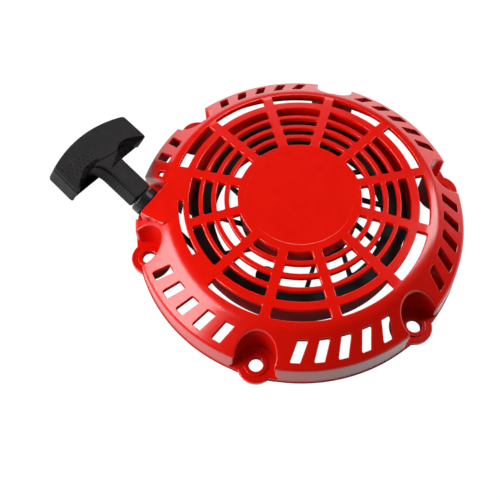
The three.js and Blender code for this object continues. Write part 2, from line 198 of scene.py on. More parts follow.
def outset(outline, distance):
    """A counterclockwise outline moved outwards by a distance, or inwards by a negative one."""
    ahead = np.roll(outline, -1, 0) - outline
    ahead /= np.linalg.norm(ahead, axis=1)[:, None]
    normal = np.stack((ahead[:, 1], -ahead[:, 0]), 1)
    before = np.roll(normal, 1, 0)
    share = 1 + np.sum(normal * before, 1)[:, None]
    return outline + distance * (normal + before) / np.maximum(share, 0.5)


def circle(r, sides, x=0, y=0):
    return np.array([(x + px, y + py) for px, py in (polar(r, 360 * i / sides) for i in range(sides))])


def turned(outline, degrees):
    c, s = math.cos(math.radians(degrees)), math.sin(math.radians(degrees))
    return outline @ np.array(((c, s), (-s, c)))


# ---- solids ----------------------------------------------------------------------------------


def at_height(outline, z):
    heights = np.broadcast_to(np.asarray(z, float), (len(outline),))
    return np.column_stack((outline, heights))


def stack(rings, closed=False):
    """A solid through rings of points: capped at both ends, or closed on itself."""
    count = len(rings[0])
    verts = np.concatenate(rings)
    faces = []
    pairs = len(rings) if closed else len(rings) - 1
    for j in range(pairs):
        low, high = j * count, ((j + 1) % len(rings)) * count
        for i in range(count):
            k = (i + 1) % count
            faces.append((low + i, low + k, high + k, high + i))
    if not closed:
        last = (len(rings) - 1) * count
        faces.append(tuple(range(count))[::-1])
        faces.append(tuple(range(last, last + count)))
    return verts, faces


def lathe(profile, segments=96):
    """A closed profile of (radius, z), counterclockwise, turned about the axis."""
    profile = np.asarray(profile)
    rings = []
    for i in range(segments):
        c, s = math.cos(2 * math.pi * i / segments), math.sin(2 * math.pi * i / segments)
        rings.append(np.column_stack((profile[:, 0] * c, profile[:, 0] * s, profile[:, 1])))
    return stack(rings, closed=True)


def prism(outline, low, high):
    outline = counterclockwise(outline)
    return stack([at_height(outline, low), at_height(outline, high)])


def slab(outline, low, high, edge, steps=3):
    """A plate of any outline with both its rims rounded."""
    outline = counterclockwise(outline)
    rings = []
    turns = [math.radians(90 * k / steps) for k in range(steps + 1)]
    for a in turns:
        inward = outset(outline, -edge * (1 - math.sin(a)))
        rings.append(at_height(inward, low + edge * (1 - math.cos(a))))
    for a in turns:
        inward = outset(outline, -edge * (1 - math.cos(a)))
        rings.append(at_height(inward, high - edge * (1 - math.sin(a))))
    return stack(rings)


def flat_at(z):
    """A flat surface for flared to open at."""
    return lambda outline: np.full(len(outline), z)


def flared(outline, low, surface, flare, shares=None):
    """A cutter with upright walls that open in a quarter round where they leave the surface."""
    outline = counterclockwise(outline)
    shares = np.ones(len(outline)) if shares is None else shares
    rings = [at_height(outline, low)]
    levels = [(1 - math.cos(a), 1 - math.sin(a)) for a in np.radians((0, 26, 52, 76))]
    levels.append((1.3, -0.12))
    for out, drop in levels:
        opened = outline + (outset(outline, out * flare) - outline) * shares[:, None]
        rings.append(at_height(opened, surface(opened) - drop * flare))
    rings.append(at_height(opened, ABOVE_ALL))
    return stack(rings)


def carried(points, closed=False):
    """The direction along a path and one across it, carried from point to point without twist."""
    frames = []
    count = len(points)
    side = None
    for i in range(count):
        ahead = points[(i + 1) % count] if closed else points[min(i + 1, count - 1)]
        behind = points[i - 1] if closed else points[max(i - 1, 0)]
        along = (ahead - behind).normalized()
        if side is None:
            side = along.orthogonal().normalized()
        side = (side - along * side.dot(along)).normalized()
        frames.append((along, side))
    return frames


def ring_across(point, along, side, radius, sides):
    """A ring across a path. The radius is a number, or a function of the angle."""
    up = along.cross(side)
    ring = []
    for k in range(sides):
        a = 2 * math.pi * k / sides
        r = radius(a) if callable(radius) else radius
        ring.append(point + r * (math.cos(a) * side + math.sin(a) * up))
    return np.array(ring)


def sweep(points, radius, sides):
    """A tube of round section along a list of points, capped at both ends."""
    rings = [
        ring_across(point, *frame, radius, sides) for point, frame in zip(points, carried(points))
    ]
    return stack(rings)


def sweep_closed(points, radius, sides):
    """A tube of round section along a loop of points."""
    frames = carried(points, closed=True)
    along, first = frames[0]
    last = frames[-1][1]
    last = (last - along * last.dot(along)).normalized()
    twist = math.atan2(last.cross(first).dot(along), last.dot(first))
    rings = []
    for i, (along, side) in enumerate(frames):
        side = Matrix.Rotation(twist * i / len(points), 3, along) @ side
        rings.append(ring_across(points[i], along, side, radius, sides))
    return stack(rings, closed=True)


def joined(*solids):
    verts, faces, first = [], [], 0
    for v, f in solids:
        verts.append(v)
        faces += [tuple(i + first for i in face) for face in f]
        first += len(v)
    return np.concatenate(verts), faces


def moved(solid, matrix):
    verts, faces = solid
    flat = np.array(matrix)
    return verts @ flat[:3, :3].T + flat[:3, 3], faces


def scratch(solid):
    """A temporary object, in millimetres, with its faces pointing out."""
    verts, faces = solid
    mesh = bpy.data.meshes.new("scratch")
    mesh.from_pydata([tuple(v) for v in verts], [], faces)
    bm = bmesh.new()
    bm.from_mesh(mesh)
    bmesh.ops.remove_doubles(bm, verts=bm.verts, dist=1e-5)
    bmesh.ops.dissolve_degenerate(bm, edges=bm.edges, dist=1e-5)
    bmesh.ops.delete(bm, geom=[e for e in bm.edges if not e.link_faces], context="EDGES")
    bmesh.ops.recalc_face_normals(bm, faces=bm.faces)
    if bm.calc_volume(signed=True) < 0:
        bmesh.ops.reverse_faces(bm, faces=bm.faces)
    bm.to_mesh(mesh)
    bm.free()
    obj = bpy.data.objects.new("scratch", mesh)
    bpy.context.scene.collection.objects.link(obj)
    return obj


def bake(obj):
    """Applies the object's modifiers."""
    graph = bpy.context.evaluated_depsgraph_get()
    mesh = bpy.data.meshes.new_from_object(obj.evaluated_get(graph))
    obj.modifiers.clear()
    obj.data = mesh


def boolean(obj, operation, solid):
    other = solid if isinstance(solid, bpy.types.Object) else scratch(solid)
    modifier = obj.modifiers.new("boolean", "BOOLEAN")
    modifier.operation = operation
    modifier.solver = "MANIFOLD"
    modifier.object = other
    bake(obj)
    bpy.data.objects.remove(other)
    return obj


def union(obj, *solids):
    for solid in solids:
        boolean(obj, "UNION", solid)
    return obj


def cut(obj, *solids):
    for solid in solids:
        boolean(obj, "DIFFERENCE", solid)
    return obj


def finish(obj, name, body, material, node=None, crease=32):
    """Turns a scratch object into a named piece of the model, in metres."""
    mesh = obj.data
    mesh.transform(Matrix.Translation((AXIS_X, AXIS_Y, 0)) @ Matrix.Scale(MM, 4))
    mesh.polygons.foreach_set("use_smooth", np.ones(len(mesh.polygons), bool))
    mesh.set_sharp_from_angle(angle=math.radians(crease))
    weighted = obj.modifiers.new("weighted", "WEIGHTED_NORMAL")
    weighted.mode = "FACE_AREA"
    weighted.weight = 60
    weighted.keep_sharp = True
    bake(obj)
    obj.name = name
    obj.data.name = name
    obj.data.materials.clear()
    obj.data.materials.append(material)
    if body:
        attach(obj, body)
    if node:
        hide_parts(node)
    return obj


# ---- materials -------------------------------------------------------------------------------


class Shader:
    """A node material: one principled shader, with helpers for what feeds it."""

    def __init__(self, name, **values):
        self.material = bpy.data.materials.new(name)
        self.material.use_nodes = True
        self.tree = self.material.node_tree
        self.shader = next(n for n in self.tree.nodes if n.type == "BSDF_PRINCIPLED")
        for key, value in values.items():
            self.shader.inputs[key.replace("_", " ")].default_value = value
        self.coords = self.tree.nodes.new("ShaderNodeTexCoord").outputs["Object"]

    def node(self, kind, **values):
        made = self.tree.nodes.new(kind)
        for key, value in values.items():
            if hasattr(made, key):
                setattr(made, key, value)
            else:
                made.inputs[key.replace("_", " ")].default_value = value
        return made

    def link(self, source, target):
        self.tree.links.new(source, target)

    def stretched(self, x, y, z):
        mapping = self.node("ShaderNodeMapping")
        mapping.inputs["Scale"].default_value = (x, y, z)
        self.link(self.coords, mapping.inputs["Vector"])
        return mapping.outputs["Vector"]

    def noise(self, scale, detail=2.0, roughness=0.5, vector=None):
        made = self.node("ShaderNodeTexNoise", Scale=scale, Detail=detail, Roughness=roughness)
        self.link(vector or self.coords, made.inputs["Vector"])
        return made.outputs["Fac"]

    def ranged(self, source, low, high, start=0.3, end=0.7):
        made = self.node("ShaderNodeMapRange")
        for socket, value in zip(("From Min", "From Max", "To Min", "To Max"), (start, end, low, high)):
            made.inputs[socket].default_value = value
        self.link(source, made.inputs["Value"])
        return made.outputs["Result"]

    def colours(self, source, *stops):
        ramp = self.node("ShaderNodeValToRGB")
        elements = ramp.color_ramp.elements
        for i, (position, colour) in enumerate(stops):
            element = elements[i] if i < len(elements) else elements.new(position)
            element.position = position
            element.color = (*colour, 1)
        self.link(source, ramp.inputs["Fac"])
        self.link(ramp.outputs["Color"], self.shader.inputs["Base Color"])

    def roughness(self, source, low, high):
        self.link(self.ranged(source, low, high), self.shader.inputs["Roughness"])

    def bump(self, *layers):
        """Layers of (height output, strength, depth in metres)."""
        normal = None
        for source, strength, depth in layers:
            made = self.node("ShaderNodeBump", Strength=strength, Distance=depth)
            self.link(source, made.inputs["Height"])
            if normal:
                self.link(normal, made.inputs["Normal"])
            normal = made.outputs["Normal"]
        self.link(normal, self.shader.inputs["Normal"])


def red_plastic():
    s = Shader("red_plastic", IOR=1.49)
    s.colours(s.noise(60, 3), (0.3, (0.70, 0.0042, 0.0003)), (0.7, (0.74, 0.0052, 0.0004)))
    s.roughness(s.noise(240, 4), 0.19, 0.24)
    s.bump((s.noise(2200, 2), 0.06, 0.00005))
    return s.material


def black_plastic(name, shade, rough, grain, grain_strength, specular=0.5):
    s = Shader(name, IOR=1.5)
    s.shader.inputs["Specular IOR Level"].default_value = specular
    s.colours(s.noise(120, 3), (0.3, [c * 0.8 for c in shade]), (0.7, [c * 1.25 for c in shade]))
    s.roughness(s.noise(260, 3), rough - 0.06, rough + 0.08)
    s.bump((s.noise(grain, 3, 0.6), grain_strength, 0.00012))
    return s.material


def metal(name, dark, light, rough, scale=(1, 1, 1)):
    s = Shader(name, Metallic=1.0)
    brushed = s.noise(500, 4, 0.6, s.stretched(*scale))
    s.colours(brushed, (0.3, dark), (0.7, light))
    s.roughness(brushed, rough - 0.08, rough + 0.1)
    s.bump((brushed, 0.12, 0.00005))
    return s.material


def rope_material(name):
    """Fine fibres of a dark, matt cord."""
    s = Shader(name, Roughness=0.9)
    s.shader.inputs["Sheen Weight"].default_value = 0.25
    fibres = s.noise(2600, 4, 0.7)
    s.colours(fibres, (0.3, (0.012, 0.012, 0.014)), (0.7, (0.06, 0.06, 0.066)))
    s.bump((fibres, 0.5, 0.00012))
    return s.material


RED = red_plastic()
BLACK = black_plastic("black_plastic", (0.010, 0.010, 0.011), 0.40, 1500, 0.12)
GRIP = black_plastic("grip_plastic", (0.019, 0.0175, 0.0178), 0.56, 1900, 0.3, specular=0.2)
NYLON = black_plastic("black_nylon", (0.012, 0.014, 0.017), 0.24, 900, 0.05)
ROPE = rope_material("rope")
ROPE_LINE = rope_material("rope_line")
STEEL = metal("steel", (0.30, 0.30, 0.31), (0.50, 0.50, 0.51), 0.36)
SPRING_STEEL = metal("spring_steel", (0.10, 0.11, 0.13), (0.22, 0.23, 0.26), 0.32, (1, 1, 6))
ZINC = metal("zinc_steel", (0.52, 0.53, 0.50), (0.68, 0.69, 0.66), 0.28)
BRASS = metal("brass", (0.45, 0.30, 0.10), (0.62, 0.45, 0.18), 0.30)

# ---- the pull line ---------------------------------------------------------------------------

OUTWARD = Vector((0, -math.cos(PULL_RISE), math.sin(PULL_RISE)))
ALONG_BAR = Matrix.Rotation(-PULL_ROLL, 3, OUTWARD) @ Vector((1, 0, 0))
GRIP_FRAME = Matrix.Translation(PULL_AT) @ Matrix(
    (ALONG_BAR, OUTWARD.cross(ALONG_BAR), OUTWARD)
).transposed().to_4x4()


def on_pull(distance):
    return PULL_AT + OUTWARD * distance


def along_pull(solid):
    return moved(solid, GRIP_FRAME)


# ---- housing ---------------------------------------------------------------------------------

CORE_R = 31.6
CORE_STEP = 0.14
cup_line = rounded(
    [
        (CUP_R, 0, 0.5), (*LIP_TOP, 2.2), (*CONE_FOOT, 1.6), (*RIM, 15.0), (DISC_R, CUP_H, 6.0),
        (CORE_R + 0.5, CUP_H, 0.2), (CORE_R, CUP_H - CORE_STEP, 0.2), (0, CUP_H - CORE_STEP, 0),
        (0, CUP_H - PLATE_T, 0), (DISC_R, CUP_H - PLATE_T, 1.0), (RIM[0] - 1, RIM[1] - PLATE_T, 3),
        (SHOULDER[0] - 1.6, SHOULDER[1] - 2, 1), (CONE_FOOT[0] - WALL, CONE_FOOT[1] - 1.4, 1),
        (LIP_TOP[0] - WALL, LIP_TOP[1] - 1.2, 1), (CUP_R - WALL, 0, 0.4),
    ],
    0,
    steps=6,
)
OUTER_LINE = cup_line[: int(np.argmin(cup_line[:, 0])) + 1]


def cup_height(outline):
    """Height of the cup's outer face under each point, going on down the cone past its foot."""
    slope = (RIM[1] - CONE_FOOT[1]) / (CONE_FOOT[0] - RIM[0])
    r = np.hypot(outline[:, 0], outline[:, 1])
    z = np.interp(r, OUTER_LINE[::-1, 0], OUTER_LINE[::-1, 1])
    return np.where(r > CONE_FOOT[0] - 1.5, CONE_FOOT[1] - slope * (r - CONE_FOOT[0]), z)


def slot_outline(r0, r1, start, end, gap, corner=0.8):
    def arc(r, backwards):
        inset = math.degrees(math.asin(gap / r))
        span = end - start - 2 * inset
        steps = max(2, round(span / 2.5))
        points = [polar(r, start + inset + span * i / steps) for i in range(steps + 1)]
        ends = (0, steps)
        points = [(*p, corner if i in ends else 0) for i, p in enumerate(points)]
        return points[::-1] if backwards else points

    return rounded(arc(r0, False) + arc(r1, True), 0, steps=3)


def grille_cutters():
    flare = 0.55
    cutters = [flared(slot_outline(*THIN_SLOT, 0), 29, cup_height, flare)]
    pitch = 360 / SPOKES
    for k in range(SPOKES):
        start = pitch * k - 180
        rows = SLOT_ROWS[:-1] if start in EXIT_SECTORS else SLOT_ROWS
        for r0, r1 in rows:
            outline = slot_outline(r0 + 0.15, r1 - 0.15, start, start + pitch, SPOKE_W / 2 + 0.15)
            cutters.append(flared(outline, 29, cup_height, flare))
    return joined(*cutters)


def vent_outline(angle, outer):
    """A vent leans: its outer end lies a little clockwise of its inner one."""
    r0, r1 = VENT_R
    corners = []
    for r, sides in ((r0, (-1, 1)), (outer, (1, -1))):
        centre = angle + VENT_LEAN * (0.5 - (r - r0) / (r1 - r0))
        half = math.degrees((VENT_W / 2 - 0.1) / r)
        corners += [polar(r, centre + side * half) for side in sides]
    return rounded(corners, 0.7, steps=3)


def vent_cutters():
    cutters = []
    for bay in range(-150, 180, 360 // EARS):
        count = VENTS_BESIDE_EXIT if bay == EXIT_BAY else VENTS_PER_BAY
        for i in range(count):
            short = bay == EXIT_BAY and i == count - 1
            outer = VENT_R[0] + SHORT_VENT if short else VENT_R[1]
            outline = vent_outline(bay + VENT_FIRST + VENT_PITCH * i, outer)
            cutters.append(flared(outline, 8, cup_height, 0.45))
    return joined(*cutters)


def pocket_outline(angle):
    """The round pocket over an ear, its mouth opening smoothly into the cup's rim."""
    mouth = 2.6
    reach = EAR_PCD_R
    # the mouth's fillet circle touches the pocket from outside and the rim from inside
    rim = CUP_R - 0.9
    d0, d1 = POCKET_R + mouth, rim - mouth
    x = (reach**2 + d1**2 - d0**2) / (2 * reach)
    y = math.sqrt(d1**2 - x**2)
    centre = np.array((x, y))
    to_pocket = math.atan2(-y, reach - x)
    to_rim = math.atan2(y, x)
    fillet = [
        centre + mouth * np.array((math.cos(a), math.sin(a)))
        for a in np.linspace(to_rim, to_pocket, 7)
    ]
    start = math.atan2(y, x - reach)
    arc = [
        np.array((reach + POCKET_R * math.cos(a), POCKET_R * math.sin(a)))
        for a in np.linspace(start, 2 * math.pi - start, 41)
    ]
    outer = fillet[0] * (1 + 12 / np.linalg.norm(fillet[0]))
    half = [outer, *fillet, *arc[1:-1]]
    half += [p * np.array((1, -1)) for p in reversed([outer, *fillet])]
    return turned(np.array(half), angle)


def ear_angles():
    return [WHEEL_ANGLE + 360 / EARS * k for k in range(EARS)]


def roof_height(outline):
    """The roof of the rope exit carries the grille's top on outwards, a little steeper."""
    r = np.hypot(outline[:, 0], outline[:, 1])
    outer = RIM[1] - (r - RIM[0]) * (RIM[1] - 29.6) / (110 - RIM[0])
    inner = CUP_H - (r - DISC_R) * (CUP_H - RIM[1]) / (RIM[0] - DISC_R) - 0.04
    return np.minimum(outer, inner)


def roof_solid():
    edge = 1.5
    front = EXIT_WALL_Y
    back = [(*polar(75.5, angle), 0) for angle in (-63, -60, -55, -50, -45, -40.5)]
    outline = rounded(
        [
            *back, (63.2, -52, 2), (64.9, -58, 4), (EXIT_X[1] + 0.2, front, 2.6),
            (56, front, 0), (47, front, 0), (EXIT_X[0] - 2, front, 0),
        ],
        0,
        steps=5,
    )
    outline = counterclockwise(outline)
    r = np.hypot(outline[:, 0], outline[:, 1])
    shares = np.clip((r - 76) / 3, 0, 1)
    rings = [at_height(outline, 0)]
    for a in np.radians((0, 18, 36, 54, 72, 90)):
        inward = outline + (outset(outline, -edge * (1 - math.cos(a))) - outline) * shares[:, None]
        rings.append(at_height(inward, roof_height(inward) - edge * (1 - math.sin(a)) * shares + 0.004))
    rings.append(at_height(inward, ABOVE_ALL))
    roof = scratch(stack(rings))
    line = [(float(r), float(roof_height(np.array([(r, 0.0)]))[0])) for r in np.linspace(112, 55, 39)]
    return boolean(roof, "INTERSECT", lathe([(55, -1), (112, -1), *line], SEGMENTS))


def recess_cutter():
    """The bay before the exit wall: its side edges are rounded, its wall is left square."""
    lines = (EXIT_WALL_Y + 0.1, -76, -84, -112)
    left = [(EXIT_X[0], y) for y in lines]
    right = [(EXIT_X[1], y) for y in reversed(lines)]
    outline = np.array(left + right)
    shares = (outline[:, 1] < EXIT_WALL_Y) * 1.0
    if counterclockwise(outline) is not outline:
        shares = shares[::-1]
    return flared(outline, EXIT_FLOOR, cup_height, 0.9, shares)


def washer(inner, outer, low, high, edge=0.2, segments=96):
    profile = [(inner, low), (outer, low), (outer, high), (inner, high)]
    return lathe(rounded(profile, edge, steps=3), segments)


def hollow_solid():
    """The room behind the exit wall, under a roof of the wall's thickness."""
    x0, x1 = EXIT_X[0], EXIT_X[1] - WALL
    y0, y1 = EXIT_WALL_Y + WALL, -46
    steps = 8
    outline = [(x0 + (x1 - x0) * i / steps, y0) for i in range(steps + 1)]
    outline += [(x1 + (x0 - x1) * i / steps, y1) for i in range(steps + 1)]
    outline = np.array(outline)
    return stack([at_height(outline, -1), at_height(outline, roof_height(outline) - WALL)])


def sector(radii, span):
    angles = np.linspace(*span, 40)
    return np.array([polar(radii[0], a) for a in angles] + [polar(radii[1], a) for a in angles[::-1]])


def reel_guard():
    """The wall that keeps the rope on the reel, open where the rope leaves."""
    wall = scratch(washer(*GUARD_R, *GUARD_Z, 0.5, SEGMENTS))
    gap = sector((GUARD_R[0] - 2, GUARD_R[1] + 2), GUARD_GAP)
    return cut(wall, prism(gap, 0, GUARD_GAP_TOP))


def outside_solid():
    """The cup filled in down to the mounting plane."""
    return lathe([(0, 0), (CUP_R, 0), *[tuple(p) for p in OUTER_LINE if p[1] > 0.6]], SEGMENTS)


def at_ears(radius, sides):
    return [circle(radius, sides, *polar(EAR_PCD_R, angle)) for angle in ear_angles()]


def within_cup(*solids):
    """Joins solids that don't touch, and keeps what lies inside the cup's outer face."""
    return boolean(scratch(joined(*solids)), "INTERSECT", outside_solid())


def add_rope_exit(body):
    left, right = EXIT_X[0] - WALL, EXIT_X[1] + WALL
    back, front = EXIT_WALL_Y + WALL, -112
    bay = within_cup(prism(np.array([(left, front), (right, front), (right, back), (left, back)]), 0, 45))
    web = slab(sector(WEB_R, WEB_SPAN), 0, WEB_T, 0.3)
    union(body, roof_solid(), bay, web, reel_guard())
    cut(body, hollow_solid(), recess_cutter())
    union(body, along_pull(slab(circle(8.6, 96), -14, -5.9, 0.5)))
    cut(body, along_pull(prism(circle(BORE_R, 64), -24, -5)))


def add_ears(body):
    boss_top = EAR_T + 0.8
    union(body, joined(*[slab(ear, 0, EAR_T, 0.7) for ear in at_ears(EAR_R, 120)]))
    pockets = [flared(pocket_outline(a), EAR_T - 0.02, cup_height, 1.1) for a in ear_angles()]
    cut(body, joined(*pockets))
    bosses = [slab(boss, EAR_T - 0.5, boss_top, 0.35) for boss in at_ears(EAR_HOLE_R + 2.6, 72)]
    union(body, joined(*bosses))
    holes = [flared(hole, -1, flat_at(boss_top), 0.45) for hole in at_ears(EAR_HOLE_R, 64)]
    cut(body, joined(*holes))


def make_housing():
    body = scratch(lathe(cup_line, SEGMENTS))
    union(body, within_cup(*[prism(column, 0, 40) for column in at_ears(POCKET_R + WALL, 64)]))
    to_wheel = Matrix.Rotation(math.radians(WHEEL_ANGLE), 4, "Z")
    cut(body, moved(grille_cutters(), to_wheel), moved(vent_cutters(), to_wheel))
    add_rope_exit(body)
    add_ears(body)
    ceiling = CUP_H - PLATE_T + 0.5
    ring = washer(*SPRING_RING_R, SPRING_RING_FOOT, ceiling, 0.4, 144)
    post = slab(circle(POST_R, 96), POST_FOOT, ceiling, 0.5)
    union(body, ring, post)
    cut(body, prism(circle(BORE_R, 64), 0, 28))
    return finish(body, "housing_shell", "cover", RED, "housing")


# ---- rope guide and screw insert -------------------------------------------------------------


def make_rope_guide():
    bore = ROPE_R + 0.6
    profile = rounded(
        [(bore + 0.8, -15, 0.6), (5, -15), (5, -5.6, 0.1), (8.3, -5.6), (8.3, -4.3, 0.6),
         (bore + 1.6, -4.3, 0.9), (bore, -6, 1.2), (bore, -12, 1.2)],
        0.25,
    )
    bush = scratch(along_pull(lathe(profile, 96)))
    finish(bush, "guide_bush", "cover", NYLON, "rope_guide")


def make_screw_insert():
    """A brass sleeve moulded into the post, in two plain bands with a groove between, and open at both
    ends.
    """
    profile = [(3.3, POST_FOOT + 0.4), (3.7, POST_FOOT), (4.7, POST_FOOT), (5, POST_FOOT + 0.3),
               (5, 18), (4.6, 18.3), (4.6, 20), (5, 20.3), (5, 27.4), (4.7, 27.7), (3.3, 27.7)]
    sleeve = scratch(lathe(profile, 96))
    finish(sleeve, "insert_sleeve", "cover", BRASS, "screw_insert", crease=25)


# ---- reel, rope and spring -------------------------------------------------------------------

PAWL_ANGLES = (0, 180)


def reel_windows():
    cutters = []
    pitch = 360 / REEL_SPOKES
    for k in range(REEL_SPOKES):
        start = REEL_SPOKE_ANGLE + pitch * k
        corners = []
        for r, lean in ((REEL_R["web"] + 0.1, REEL_LEAN), (REEL_R["window"] - 0.1, 0)):
            side = math.degrees((REEL_SPOKE_W / 2 + 0.1) / r)
            span = np.linspace(side, pitch - side, 13)
            if not lean:
                span = span[::-1]
            for s in span:
                corner = 1.0 if s in (span[0], span[-1]) else 0
                corners.append((*polar(r, start + lean + s), corner))
        cutters.append(flared(rounded(corners, 0), 5, flat_at(REEL_TOP), 0.4))
    return joined(*cutters)


def make_reel():
    hub, rim = REEL_R["hub"], REEL_R["rim"]
    profile = [
        (REEL_R["bore"], POST_FOOT, 0.3), (hub, POST_FOOT, 0.4), (hub, REEL_WEB, 1.2),
        (REEL_R["window"], REEL_WEB, 0.6), (REEL_R["window"], REEL_LOW, 0.4), (rim, REEL_LOW, 0.6),
        (rim, GROOVE[0], 0.4), (REEL_R["floor"], GROOVE[0], 0.6), (REEL_R["floor"], GROOVE[1], 0.6),
        (rim, GROOVE[1], 0.4), (rim, REEL_TOP, 0.6), (10.6, REEL_TOP, 0.8), (10.6, SPRING["high"], 0.4),
        (REEL_R["bore"], SPRING["high"], 0.3),
    ]
    reel = scratch(lathe(rounded(profile, 0, steps=4), 240))
    posts = [
        slab(circle(2.5, 48, *polar(PAWL_PIVOT_R, a)), PAWL_Z[0] - 0.4, REEL_WEB + 0.5, 0.35)
        for a in PAWL_ANGLES
    ]
    union(reel, joined(*posts))
    cut(reel, reel_windows())
    tie = scratch(prism(circle(6, 64, *polar(REEL_R["floor"] - 6, TIE_ANGLE)), REEL_WEB, REEL_TOP))
    boolean(tie, "INTERSECT", washer(40, REEL_R["window"] + 1, REEL_WEB - 1, REEL_TOP + 1))
    union(reel, tie)
    way = Matrix.Translation((*polar(50, TIE_ANGLE), LANE_Z[0] + 0.1))
    way = way @ Matrix.Rotation(math.radians(TIE_ANGLE), 4, "Z")
    way = way @ Matrix.Rotation(math.radians(90), 4, "Y")
    cut(reel, moved(prism(circle(ROPE_R + 0.25, 32), -1, 6), way))
    spring_slot = np.array([(-1.1, 9.2), (1.1, 9.2), (1.1, 12.5), (-1.1, 12.5)])
    slot_cut = prism(spring_slot, SPRING["low"] - 0.4, 40)
    cut(reel, moved(slot_cut, Matrix.Rotation(math.radians(-90), 4, "Z")))
    finish(reel, "rope_wheel", "reel_body", BLACK, "reel")


def braided(points, sides, strands=8, lay=11.0, relief=0.045):
    """A rope whose strands stand proud of its round section and wind both ways."""
    rings = []
    run = 0
    for i, (point, frame) in enumerate(zip(points, carried(points))):
        if i:
            run += (point - points[i - 1]).length
        turn = 2 * math.pi * run / lay

        def woven(a, turn=turn):
            weave = math.cos(strands / 2 * (a + turn)) * math.cos(strands / 2 * (a - turn))
            return ROPE_R * (1 - relief + relief * weave)

        rings.append(ring_across(point, *frame, woven, sides))
    return stack(rings)


def winding_path():
    """Three turns in the groove, from the hole beside the knot to where the rope leaves."""
    end = 18.0
    total = TIE_ANGLE + 3 * 360 - end
    lanes = ((LAYER_R[0], LANE_Z[0]), (LAYER_R[0], LANE_Z[1]), (LAYER_R[1], LANE_Z[1]))
    run_in = np.arange(48.5, LAYER_R[0] - 1.2, 0.7)
    points = [Vector((*polar(r, TIE_ANGLE), LANE_Z[0])) for r in run_in]
    count = 760
    for i in range(count + 1):
        angle = total * i / count
        turn = min(2, int(angle // 360))
        part = angle - 360 * turn
        share = np.clip((part - 318) / 42, 0, 1) if turn < 2 else 0
        share = share * share * (3 - 2 * share)
        here, after = lanes[turn], lanes[min(turn + 1, 2)]
        r = here[0] + (after[0] - here[0]) * share
        z = here[1] + (after[1] - here[1]) * share
        if angle < 6:
            r -= 1.0 * (1 - angle / 6) ** 2
        points.append(Vector((*polar(r, TIE_ANGLE - angle), z)))
    return points


def make_winding():
    coil = scratch(braided(winding_path(), sides=24))
    finish(coil, "rope_winding", "reel_body", ROPE, "rope_coil")


def knot(centre, radius, axis):
    """An overhand knot: a slightly thinner rope laid in a tight trefoil."""
    size = (radius - ROPE_R) / 3
    turn = axis.to_track_quat("Z", "Y").to_matrix()
    points = []
    steps = 96
    for i in range(steps):
        t = 2 * math.pi * i / steps
        bend = Vector((
            math.sin(t) + 2 * math.sin(2 * t), math.cos(t) - 2 * math.cos(2 * t), -1.15 * math.sin(3 * t),
        ))
        points.append(centre + turn @ (bend * size))
    return sweep_closed(points, ROPE_R * 0.93, 16)


def make_knots():
    at = Vector((*polar(REEL_R["floor"] - 7.5, TIE_ANGLE), 14.4))
    inward = Vector((*polar(1, TIE_ANGLE), 0))
    tied = scratch(knot(at, 3.75, inward))
    finish(tied, "reel_end_knot", "reel_body", ROPE, "reel_knot", crease=60)
    tied = scratch(knot(on_pull(36.2), 4.1, OUTWARD))
    finish(tied, "handle_end_knot", "handle", ROPE, "grip_knot", crease=60)


def lead_path():
    """From the winding, through the guide and up the grip's stem to its knot."""
    mouth = on_pull(-20)
    reach = math.hypot(mouth.x, mouth.y)
    bearing = math.degrees(math.atan2(mouth.y, mouth.x) + math.acos(LAYER_R[1] / reach))
    leave = Vector((*polar(LAYER_R[1], bearing), LANE_Z[0]))
    bend = [leave.lerp(mouth, 0.78), mouth, on_pull(-13)]
    points = [leave.lerp(bend[0], i / 60) for i in range(60)]
    for i in range(30):
        t = i / 30
        points.append(bend[0] * (1 - t) ** 2 + bend[1] * 2 * t * (1 - t) + bend[2] * t * t)
    points += [on_pull(-13 + 0.5 * i) for i in range(86)]
    return points


def make_lead():
    lead = scratch(sweep(lead_path(), ROPE_R * 0.97, 32))
    finish(lead, "rope_line", None, ROPE_LINE, "rope_lead")
    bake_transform(lead)


def make_recoil_spring():
    """A flat strip wound in a spiral, from the reel's hub out to the cup's ring."""
    half, low, high, edge = SPRING["strip"] / 2, SPRING["low"], SPRING["high"], 0.18
    section = rounded([(-half, low), (half, low), (half, high), (-half, high)], edge, steps=3)
    steps = SPRING["turns"] * 90
    rings = []
    for i in range(steps + 1):
        t = i / steps
        r = SPRING["inner"] + (SPRING["outer"] - SPRING["inner"]) * t**0.75
        a = math.radians(360 * SPRING["turns"] * t)
        rings.append(np.array([((r + x) * math.cos(a), (r + x) * math.sin(a), z) for x, z in section]))
    strip = scratch(stack(rings))
    finish(strip, "spring_strip", "cover", SPRING_STEEL, "recoil_spring")


# ---- pawls, guide plate and centre screw -----------------------------------------------------


def curve(points, steps):
    """Points along a Bezier curve of three or four control points, without its last one."""
    points = [np.array(p, float) for p in points]
    out = []
    for i in range(steps):
        level, t = points, i / steps
        while len(level) > 1:
            level = [a * (1 - t) + b * t for a, b in zip(level, level[1:])]
        out.append(tuple(level[0]))
    return out


def pawl_solid(angle):
    length = PAWL_LENGTH
    left, right = (-3.4, -length + 0.4), (2.3, -length + 0.5)
    outline = [polar(5, 180 * i / 20) for i in range(20)]
    outline += curve([(-5, 0), (-5, -7), left], 12)
    outline += rounded([(*left, 0), (-3.3, -length), (2.2, -length), (*right, 0)], 0.4).tolist()
    outline += curve([right, (3.6, -9), (5, 0)], 12)[1:]
    outline = np.array(outline)
    low, high = PAWL_Z
    pawl = scratch(slab(outline, low, high, 0.35))
    union(pawl, slab(circle(1.4, 32, 0, -length * PIN_ALONG), GUIDE_Z[0] + 0.2, low + 0.6, 0.2))
    cut(pawl, flared(circle(2.8, 48), 0, flat_at(high), 0.3))
    to_pivot = Matrix.Translation((PAWL_PIVOT_R, 0, 0))
    pawl.data.transform(Matrix.Rotation(math.radians(angle), 4, "Z") @ to_pivot)
    return pawl


